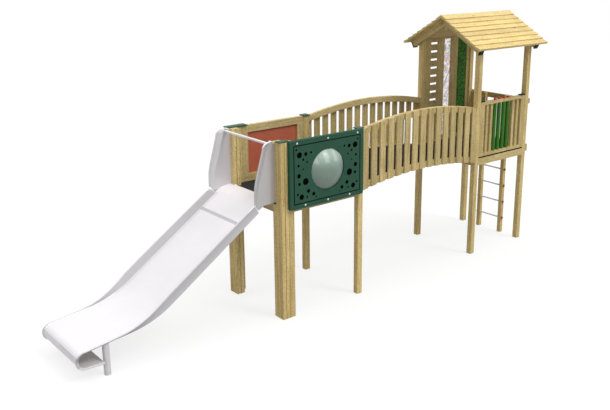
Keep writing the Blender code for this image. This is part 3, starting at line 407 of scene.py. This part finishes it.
def makeSheet(name, look):  # coloured polyethylene: a soft mottle and a fine moulded stipple
    f = Finish(name)
    cloudy = f.noise(f.point, look.get("cloud", 6.0), 3.0, 0.55)
    stipple = f.noise(f.point, 520.0, 2.0, 0.6)
    rub = f.step(f.noise(f.point, 22.0, 4.0, 0.7), 0.56, 0.80)
    colour = f.mix(cloudy, tone(*look["deep"]), tone(*look["light"]))
    colour = f.mix(rub * look.get("rub", 0.16), colour, tone(*look["worn"]))
    colour = f.shaded(colour, 0.94 + stipple * 0.12)
    return f, colour, look.get("rough", 0.42) + stipple * 0.10 + rub * 0.12, stipple


greenSheet = {"deep": (41, 79, 62), "light": (51, 92, 73), "worn": (88, 132, 114), "rough": 0.46,
              "line": (3, 8, 6), "lineBox": (-0.9945, 0.0535, 1.479, 2.199), "lineWide": 0.014,
              "face": -0.6425, "holesHalf": (0.57, 0.41), "domeRadius": 0.28,
              "fixed": {"Specular_IOR_Level": 0.12}}


def makeGreenSheet():
    f, colour, rough, stipple = makeSheet("greenSheet", greenSheet)
    x, y, z = f.split(f.point)
    left, right, low, high = greenSheet["lineBox"]  # the routed groove's middle line
    across, up = x - (left + right) / 2, z - (low + high) / 2
    outside = (abs(across) - (right - left) / 2).most(abs(up) - (high - low) / 2)
    # painted shade: the groove is painted near-black, and 2 mm past each of its edges as well
    line = (abs(outside) < greenSheet["lineWide"] / 2) * (y < greenSheet["face"])
    ny = f.split(f.facing)[1]
    halfWide, halfHigh = greenSheet["holesHalf"]
    pastDome = (across ** 2 + up ** 2) > greenSheet["domeRadius"] ** 2
    inside = (abs(across) < halfWide) * (abs(up) < halfHigh) * pastDome
    # painted shade: the groove and the walls of the holes take the near-black tone
    colour = f.mix(line.most(inside * (abs(ny) < 0.5)), colour, tone(*greenSheet["line"]))
    return f.close(colour, rough, stipple, 0.0008, 0.3, **greenSheet["fixed"])


backSheetShade = {"face": -0.6, "deep": (2, 3, 2), "light": (7, 9, 8)}


def makeBackSheet():  # the back sheet's front face, seen through the holes, is painted near-black: a painted shade
    f, colour, rough, stipple = makeSheet("greenBackSheet", greenSheet)
    y = f.split(f.point)[1]
    ny = f.split(f.facing)[1]
    dark = f.mix(stipple, tone(*backSheetShade["deep"]), tone(*backSheetShade["light"]))
    # painted shade: the front face of the back sheet turns near-black
    colour = f.mix((ny < -0.5) * (y < backSheetShade["face"]), colour, dark)
    return f.close(colour, rough, stipple, 0.0006, 0.3, Specular_IOR_Level=0.02)


def makePlain(name, look, bump=0.0006):
    f, colour, rough, stipple = makeSheet(name, look)
    return f.close(colour, rough, stipple, bump, 0.3, **look.get("fixed", {}))


deckBoard = {"deep": (24, 24, 26), "light": (52, 52, 54), "flecks": 0.45}
bridgeBoard = {"deep": (6, 6, 7), "light": (17, 17, 19), "flecks": 0.16}  # nearly black between the slats
boardMarks = {"fleck": (112, 112, 116), "edge": (8, 7, 6), "dots": 55.0}


def makeDeck(name, look):  # dark board pressed from chips, with pale flecks and a raised dot pattern
    f = Finish(name)
    x, y, z = f.split(f.point)
    fleck = f.spots(f.point, 210.0, "Color")
    grain = f.noise(f.point, 90.0, 3.0, 0.65)
    cloudy = f.noise(f.point, 4.0, 2.0)
    colour = f.mix(grain * 0.5 + cloudy * 0.5, tone(*look["deep"]), tone(*look["light"]))
    colour = f.mix((fleck > 0.84) * look["flecks"], colour, tone(*boardMarks["fleck"]))
    # the board's side faces are near-black, much darker than its top
    sideFaces = abs(f.split(f.facing)[2]) < 0.5
    colour = f.mix(sideFaces * 0.85, colour, tone(*boardMarks["edge"]))
    dots = 1 - f.step(f.spots(f.join(x * boardMarks["dots"], y * boardMarks["dots"], 0.0)), 0.18, 0.34)
    return f.close(colour, 0.68 + grain * 0.2, grain * 0.4 + dots * 0.8, 0.0012, 0.5, Specular_IOR_Level=0.15)


# tones of the dome, darker low and lighter high as painted light, the heights its tone changes between, and
# the pale bars in its upper part, which are painted reflections
dome = {"low": (136, 158, 144), "high": (170, 192, 178), "rise": (1.84, 2.02),
        "paintedReflection": (208, 226, 214), "reflectionRise": (1.925, 1.96), "reflectionWave": (46.0, 1.1)}


def makeDome():
    f = Finish("clearDome")
    x, y, z = f.split(f.point)
    haze = f.noise(f.point, 9.0, 3.0, 0.6)
    scratch = f.step(f.noise(f.join(x * 40.0, y * 40.0, z * 260.0), 1.0, 2.0, 0.7), 0.62, 0.8)
    wave, start = dome["reflectionWave"]
    # painted reflections: pale vertical bars in the dome's upper part
    bars = f.step((x * wave + start).sine(), -0.1, 0.5) * f.step(z, *dome["reflectionRise"])
    # painted light: the dome is darker low and lighter high
    colour = f.mix(f.step(z, *dome["rise"]), tone(*dome["low"]), tone(*dome["high"]))
    colour = f.mix(bars * 0.55, colour, tone(*dome["paintedReflection"]))
    colour = f.shaded(colour, 0.95 + haze * 0.1)
    return f.close(colour, 0.30 + haze * 0.05 + scratch * 0.08, haze, 0.0006, 0.2,
                   Alpha=0.74 + haze * 0.12 + scratch * 0.1, Coat_Weight=0.1, Coat_Roughness=0.2)


swirl = {"bands": ((0.0, 176, 120, 176), (0.16, 240, 176, 204), (0.32, 255, 250, 255),
                   (0.84, 255, 255, 255), (1.0, 240, 168, 176)),
         "touches": ((0.40, 176, 206, 168), (0.48, 244, 168, 120), (0.56, 244, 132, 112)),
         "waves": 40.0}


def makeSwirl():  # marbled sheet: bands of noise warped by a second, slower noise
    f = Finish("swirlSheet")
    x, y, z = f.split(f.point)
    slow = f.noise(f.join(x * 4.0, y, z * 3.2), 1.0, 2.0, 0.5, 0.6)
    fine = f.noise(f.join(x * 4.5 + slow * 3.0, y, z * 3.0 + slow * 4.0), 1.0, 1.5, 0.5, 0.8)
    bands = (fine * swirl["waves"]).sine() * 0.5 + 0.5
    colour = f.ramp(bands, graded(swirl["bands"]))
    touch = f.step(f.noise(f.join(x * 2.0, y, z * 4.0), 1.0, 2.0, 0.5, 0.8), 0.50, 0.60)
    hue = f.ramp(f.noise(f.point, 3.0), graded(swirl["touches"]))
    colour = f.mix(touch * 0.75, colour, hue)
    pale = f.step(bands, 0.14, 0.40) * (1 - f.step(bands, 0.84, 0.98))
    return f.close(colour, 0.22 + fine * 0.12, bands, 0.0003, 0.25, Alpha=0.44 - pale * 0.36 + touch * 0.12)


turf = {"greens": ((0.36, 12, 50, 10), (0.5, 32, 92, 22), (0.62, 84, 148, 44)), "pile": 0.004}


def makeTurf():  # short green pile: leaf-like flecks in three greens
    f = Finish("turfStrip")
    tuft = f.spots(f.point, 95.0, "Color")
    blade = f.spots(f.point, 210.0)
    patch = f.noise(f.point, 34.0, 3.0, 0.7)
    colour = f.ramp(f.split(tuft)[0] * 0.3 + patch * 0.7, graded(turf["greens"]))
    colour = f.shaded(colour, 0.72 + blade * 0.7)
    return f.close(colour, 0.8 + blade * 0.15, blade + tuft * 0.4, turf["pile"], 0.8)


steelFinish = makeSlideSteel()
for name in ("slide_bed", "slide_wing_near", "slide_wing_far", "slide_grab_bar"):
    wear(name, steelFinish)
legFinish = makeBrushed("legSteel", {"dull": (208, 205, 206), "bright": (228, 225, 226), "metal": 0.1})
for name in ("slide_leg_near", "slide_leg_far"):
    wear(name, legFinish)
rungFinish = makeBrushed("rungSteel", {"dull": (222, 220, 226), "bright": (242, 240, 246), "metal": 0.1,
                                       "capBeyond": 0.2476})
for number in range(1, 6):
    wear("ladder_rung_%d" % number, rungFinish)
capFinish = makePlain("capGreen", {"deep": (22, 66, 48), "light": (32, 82, 62), "worn": (70, 112, 94),
                                   "rough": 0.46, "fixed": {"Specular_IOR_Level": 0.35}})
for name in ("cap_near_front", "cap_near_back", "cap_far_front", "cap_far_back"):
    wear(name, capFinish)
wear("bubble_panel_front", makeGreenSheet())
wear("bubble_panel_back", makeBackSheet())
wear("bubble_dome", makeDome())
wear("red_panel", makePlain("redSheet", {"deep": (192, 98, 72), "light": (206, 112, 84),
                                         "worn": (220, 146, 120), "rough": 0.5}))
deckFinish = makeDeck("deckBoard", deckBoard)
for name in ("slide_deck_board", "roof_deck_board"):
    wear(name, deckFinish)
wear("bridge_deck", makeDeck("bridgeBoard", bridgeBoard))
rollerFinish = makePlain("rollerGreen", {"deep": (32, 95, 4), "light": (62, 128, 12), "worn": (104, 168, 92),
                                         "rough": 0.36, "rub": 0.06, "fixed": {"Specular_IOR_Level": 0.3}})
knobFinish = makePlain("knobRed", {"deep": (170, 30, 16), "light": (206, 52, 32), "worn": (222, 110, 90),
                                   "rough": 0.22, "cloud": 30.0})
for number in range(1, 5):
    wear("roller_%d" % number, rollerFinish)
    wear("roller_spindle_%d" % number, knobFinish)
wear("swirl_panel", makeSwirl())
wear("green_panel", makeTurf())
print("sheets, bars and moulded parts done")


# Small fittings: bolt heads, caps and feet

def putMesh(name, points, faces, material, body="frame"):
    mesh = bpy.data.meshes.new(name)
    mesh.from_pydata(points.tolist(), [], faces)
    mesh.update()
    mesh.materials.append(material)
    thing = bpy.data.objects.new(name, mesh)
    bpy.context.scene.collection.objects.link(thing)
    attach(thing, body)


def turned(profile, around, sides):
    # (radius, height) pairs swept round the height axis, the two ends closed by one point each
    profile = np.asarray(profile, float)
    angle = np.linspace(0.0, 2 * math.pi, sides, endpoint=False)
    radius, height = profile[:, :1], profile[:, 1:]
    ring = np.stack([radius * np.cos(angle), radius * np.sin(angle), height + 0 * angle], axis=-1)
    ring = ring.reshape(-1, 3)
    ends = np.array([[0.0, 0.0, profile[0, 1]], [0.0, 0.0, profile[-1, 1]]])
    row, side = np.meshgrid(np.arange(len(profile) - 1), np.arange(sides), indexing="ij")
    nextSide = (side + 1) % sides
    quads = np.stack([row * sides + side, row * sides + nextSide, (row + 1) * sides + nextSide,
                      (row + 1) * sides + side], axis=-1).reshape(-1, 4).tolist()
    count, last = len(ring), (len(profile) - 1) * sides
    spin = np.arange(sides)
    low = np.stack([0 * spin + count, (spin + 1) % sides, spin], axis=-1).tolist()
    high = np.stack([0 * spin + count + 1, last + spin, last + (spin + 1) % sides], axis=-1).tolist()
    return np.vstack([ring, ends]) @ np.array(around).T, quads + low + high


def pillow(halfSize, corner, rows=16):
    # each direction on a sphere is pushed out to the ball of its own corner: a block with rounded edges
    down, along = np.meshgrid((np.arange(rows) + 0.5) * math.pi / rows,
                              (np.arange(rows * 2) + 0.5) * math.pi / rows, indexing="ij")
    way = np.stack([np.sin(down) * np.cos(along), np.sin(down) * np.sin(along),
                    np.cos(down)], axis=-1).reshape(-1, 3)
    points = np.sign(way) * (np.asarray(halfSize) - corner) + way * corner
    sides = rows * 2
    row, side = np.meshgrid(np.arange(rows - 1), np.arange(sides), indexing="ij")
    nextSide = (side + 1) % sides
    quads = np.stack([row * sides + side, (row + 1) * sides + side, (row + 1) * sides + nextSide,
                      row * sides + nextSide], axis=-1).reshape(-1, 4).tolist()
    last = (rows - 1) * sides
    lids = [list(range(sides)), [last + i for i in reversed(range(sides))]]
    return points, quads + lids


# turns the height axis to the near side or to the slide's end
towards = {"near": Matrix.Rotation(math.pi / 2, 3, "X"), "front": Matrix.Rotation(-math.pi / 2, 3, "Y")}


def makeBolt(name, centre, direction, look, material):  # a low domed head
    radius, height = look["radius"], look["height"]
    arc = np.linspace(0.0, math.pi / 2, 6)
    profile = [(radius * 0.92, 0.0)] + [(radius * math.cos(a), height * (0.25 + 0.75 * math.sin(a)))
                                        for a in arc[:-1]] + [(radius * 0.12, height)]
    points, faces = turned(profile, towards[direction], 20)
    putMesh(name, points + np.asarray(centre), faces, material)


whiteBolt = {"radius": 0.013, "height": 0.007, "face": -0.6471}
whiteBoltRows = {2.229: (-0.945, -0.471, 0.010), 1.449: (-0.827, -0.471, -0.118)}  # height: places along it
steelBolt = {"radius": 0.012, "height": 0.006, "face": 2.2877}
steelBoltPlaces = ((0.06, 3.40), (0.30, 3.335))
nutCap = makePlain("whiteNutCap", {"deep": (206, 212, 210), "light": (238, 240, 240), "worn": (190, 196, 194),
                                   "rough": 0.3, "cloud": 60.0})
boltSteel = makeBrushed("boltSteel", {"dull": (92, 92, 92), "bright": (136, 134, 130), "metal": 0.8},
                        (60.0, 60.0, 60.0))
darkCap = makePlain("railCapGreen", {"deep": (16, 44, 30), "light": (24, 58, 40), "worn": (56, 84, 68),
                                     "rough": 0.6, "fixed": {"Specular_IOR_Level": 0.1}})

panelPlaces = [(x, z) for z, row in whiteBoltRows.items() for x in row]
for index, (x, z) in enumerate(panelPlaces):
    makeBolt("panel_bolt_%d" % (index + 1), (x, whiteBolt["face"], z), "near", whiteBolt, nutCap)
for side, sign in (("near", -1), ("far", 1)):
    for index, (y, z) in enumerate(steelBoltPlaces):
        makeBolt("gable_bolt_%s_%d" % (side, index + 1), (steelBolt["face"], sign * y, z), "front",
                 steelBolt, boltSteel)

railCap = {"half": (0.046, 0.038, 0.0075), "corner": 0.004, "y": -0.5625, "up": 2.3178,
           "ends": {"front": 2.4923, "back": 3.4347}}
for name, x in railCap["ends"].items():
    points, faces = pillow(railCap["half"], railCap["corner"])
    putMesh("rail_cap_" + name, points + np.array([x, railCap["y"], railCap["up"]]), faces, darkCap)

rafterCap = {"half": (0.044, 0.008, 0.054), "corner": 0.004, "out": 0.6574, "up": 3.0534,
             "gables": {"front": 2.3267, "back": 3.6003}}
for name, x in rafterCap["gables"].items():
    for side, sign in (("near", -1), ("far", 1)):  # square to the rafter, on its sawn end
        points, faces = pillow(rafterCap["half"], rafterCap["corner"])
        lean = np.array(Matrix.Rotation(-sign * slope, 3, "X"))
        place = np.array([x, sign * rafterCap["out"], rafterCap["up"]])
        putMesh("rafter_cap_%s_%s" % (name, side), points @ lean.T + place, faces, darkCap)

wingFoot = {"half": (0.020, 0.006, 0.007), "corner": 0.002, "x": -1.160, "out": 0.486, "up": 1.497}
for side, sign in (("near", -1), ("far", 1)):
    points, faces = pillow(wingFoot["half"], wingFoot["corner"])
    place = np.array([wingFoot["x"], sign * wingFoot["out"], wingFoot["up"]])
    putMesh("wing_foot_" + side, points + place, faces, darkCap)
print("fittings done")


# Floor, light and camera

stage = {"floorSize": 60.0, "floorGlow": 0.76, "world": 0.56,
         "bounce": (172, 172, 172), "white": (252, 252, 252),
         "lamps": {"key": {"strength": 1.0, "soft": 20.0, "from": (0.30, -0.60, 0.74)},
                   "overhead": {"strength": 1.5, "soft": 70.0, "from": (-0.06, -0.10, 1.0)}}}


def makeFloor():
    mesh = bpy.data.meshes.new("floor")
    half = stage["floorSize"] / 2
    corners = [(-half, -half, 0.0), (half, -half, 0.0), (half, half, 0.0), (-half, half, 0.0)]
    mesh.from_pydata(corners, [], [(0, 1, 2, 3)])
    floor = bpy.data.objects.new("floor", mesh)
    bpy.context.scene.collection.objects.link(floor)
    f = Finish("floorWhite")
    path = f.node("ShaderNodeLightPath", None, (), "Is Camera Ray")
    outputs = path.socket.node.outputs
    seen = path.most(Wire(f, outputs["Is Glossy Ray"])).most(Wire(f, outputs["Is Transmission Ray"]))
    matte = f.node("ShaderNodeBsdfDiffuse", None,
                   {"Color": f.mix(seen, tone(*stage["bounce"]), tone(*stage["white"]))})
    glow = f.node("ShaderNodeEmission", None, {"Color": (1.0, 1.0, 1.0, 1.0), "Strength": 1.0})
    both = f.node("ShaderNodeMixShader", None, {0: seen * stage["floorGlow"], 1: matte, 2: glow})
    end = f.tree.nodes.new("ShaderNodeOutputMaterial")
    f.tree.links.new(both.socket, end.inputs["Surface"])
    mesh.materials.append(f.material)


def makeWorld():
    world = bpy.data.worlds.new("studio")
    bpy.context.scene.world = world
    world.use_nodes = True
    tree = world.node_tree
    tree.nodes.clear()
    path = tree.nodes.new("ShaderNodeLightPath")
    seen = tree.nodes.new("ShaderNodeMath")
    seen.operation = "MAXIMUM"
    tree.links.new(path.outputs["Is Camera Ray"], seen.inputs[0])
    tree.links.new(path.outputs["Is Glossy Ray"], seen.inputs[1])
    through = tree.nodes.new("ShaderNodeMath")
    through.operation = "MAXIMUM"
    tree.links.new(seen.outputs[0], through.inputs[0])
    tree.links.new(path.outputs["Is Transmission Ray"], through.inputs[1])
    level = tree.nodes.new("ShaderNodeMapRange")
    level.inputs["To Min"].default_value = stage["world"]
    level.inputs["To Max"].default_value = 1.0
    tree.links.new(through.outputs[0], level.inputs["Value"])
    light = tree.nodes.new("ShaderNodeBackground")
    light.inputs["Color"].default_value = (1.0, 1.0, 1.0, 1.0)
    tree.links.new(level.outputs["Result"], light.inputs["Strength"])
    end = tree.nodes.new("ShaderNodeOutputWorld")
    tree.links.new(light.outputs[0], end.inputs["Surface"])


def makeLamp(name, look):
    data = bpy.data.lights.new(name, "SUN")
    data.energy = look["strength"]
    data.angle = math.radians(look["soft"])
    lamp = bpy.data.objects.new(name, data)
    bpy.context.scene.collection.objects.link(lamp)
    way = np.asarray(look["from"], float)
    way /= np.linalg.norm(way)
    side = np.cross((0.0, 0.0, 1.0), way)
    side /= np.linalg.norm(side)
    lamp.matrix_world = Matrix([[*row, 0.0] for row in np.column_stack([side, np.cross(way, side), way])] +
                               [[0, 0, 0, 1]])


# the camera worked out from the photo: place in metres, turns in degrees, focal length in its pixels
lens = {"place": (-6.5254, -7.9415, 4.389), "yaw": 49.88751, "down": 15.71408, "focal": 799.5317,
        "photoWide": 610, "sensor": 36.0, "shift": (-0.04699, -0.044175)}


def makeCamera():
    data = bpy.data.cameras.new("camera")
    data.sensor_width = lens["sensor"]
    data.lens = lens["focal"] * lens["sensor"] / lens["photoWide"]
    data.shift_x, data.shift_y = lens["shift"]
    data.clip_end = 100.0
    camera = bpy.data.objects.new("camera", data)
    bpy.context.scene.collection.objects.link(camera)
    yaw, down = math.radians(lens["yaw"]), math.radians(lens["down"])
    ahead = np.array([math.cos(yaw) * math.cos(down), math.sin(yaw) * math.cos(down), -math.sin(down)])
    right = np.array([math.sin(yaw), -math.cos(yaw), 0.0])
    rows = np.column_stack([right, np.cross(right, ahead), -ahead, lens["place"]])
    camera.matrix_world = Matrix([list(row) for row in rows] + [[0, 0, 0, 1]])
    bpy.context.scene.camera = camera


makeFloor()
makeWorld()
for name, look in stage["lamps"].items():
    makeLamp(name, look)
makeCamera()
bpy.context.scene.view_settings.view_transform = "Standard"
print("stage done")
